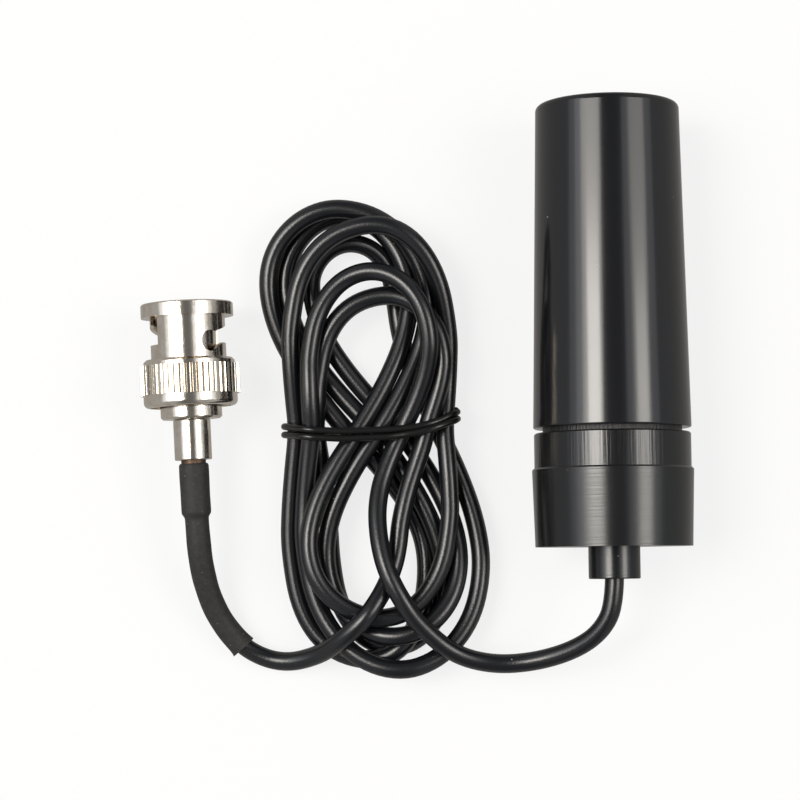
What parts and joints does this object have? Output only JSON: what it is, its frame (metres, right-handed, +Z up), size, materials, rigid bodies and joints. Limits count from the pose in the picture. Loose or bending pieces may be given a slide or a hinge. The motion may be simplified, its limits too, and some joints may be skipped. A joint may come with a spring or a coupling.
{
  "type": "ph electrode",
  "caption": "Short black pH electrode with a tapering storage cap, a hanked coaxial cord held by a tie, and a bayonet coaxial plug.",
  "frame": {"origin": "on the surface that the probe lies on, under the middle of the probe", "axes": "+Z up, +Y along the probe towards the closed end of its storage cap, which dips by 1.6 degrees; the cord and plug lie to -X"},
  "size_m": [0.0796, 0.0831, 0.0231],
  "materials": {
    "cap_plastic": "smooth black moulding, glossy, with fine scratches",
    "barrel_plastic": "black moulding with faint lines along it",
    "collar_plastic": "turned black plastic, satin gloss, faint turning rings",
    "cord_jacket": "satin black soft jacket",
    "shrink_tube": "matte charcoal shrink tube",
    "tie_rubber": "matte black band",
    "seal_rubber": "black rubber",
    "gasket_rubber": "red silicone",
    "sponge": "open cream foam",
    "glass": "clear thin glass",
    "gel": "cloudy gel",
    "porous_white": "porous white ring",
    "potting": "dark resin",
    "nickel_plate": "warm nickel plate over brass",
    "spring_steel": "spring steel",
    "gold_plate": "gold plate",
    "silver_wire": "silver wire",
    "copper_braid": "copper braid",
    "insulator_white": "white fluoropolymer"
  },
  "bodies": {
    "electrode": {"electrode_barrel": "barrel_plastic", "cap_seal_ring": "seal_rubber", "glass_bulb": "glass", "inner_wire": "silver_wire", "stem_bung": "seal_rubber", "reference_junction": "porous_white", "reference_wire": "silver_wire", "reference_gel": "gel", "gel_seal": "seal_rubber", "rear_collar": "collar_plastic", "rear_potting": "potting", "probe_cord": "cord_jacket", "cord_hank": "cord_jacket", "cable_tie": "tie_rubber", "plug_cord": "cord_jacket", "shrink_sleeve": "shrink_tube", "crimp_ferrule": "nickel_plate", "shield_braid": "copper_braid", "cord_core": "insulator_white", "plug_body": "nickel_plate", "plug_insulator": "insulator_white", "centre_pin": "gold_plate", "face_gasket": "gasket_rubber", "bowed_spring": "spring_steel"},
    "cap": {"storage_cap": "cap_plastic", "storage_sponge": "sponge"},
    "washer": {"thrust_washer": "nickel_plate"},
    "coupling": {"coupling_sleeve": "nickel_plate", "retaining_ring": "spring_steel"}
  },
  "joints": [
    {"name": "cap_pull", "type": "slide", "parent": "electrode", "child": "cap", "axis": [0, 0.9997, -0.0236], "range_m": [0, 0.04]},
    {"name": "coupling_draw", "type": "slide", "parent": "electrode", "child": "washer", "axis": [-0.0389, 0.9992, 0], "range_m": [0, 0.0008], "stiffness_N_per_m": 2000, "springref_m": -0.0003, "deforming": ["bowed_spring"]},
    {"name": "coupling_turn", "type": "hinge", "parent": "washer", "child": "coupling", "pos_m": [-0.0612, 0.0063, 0.00725], "axis": [-0.0389, 0.9992, 0], "continuous": true}
  ]
}
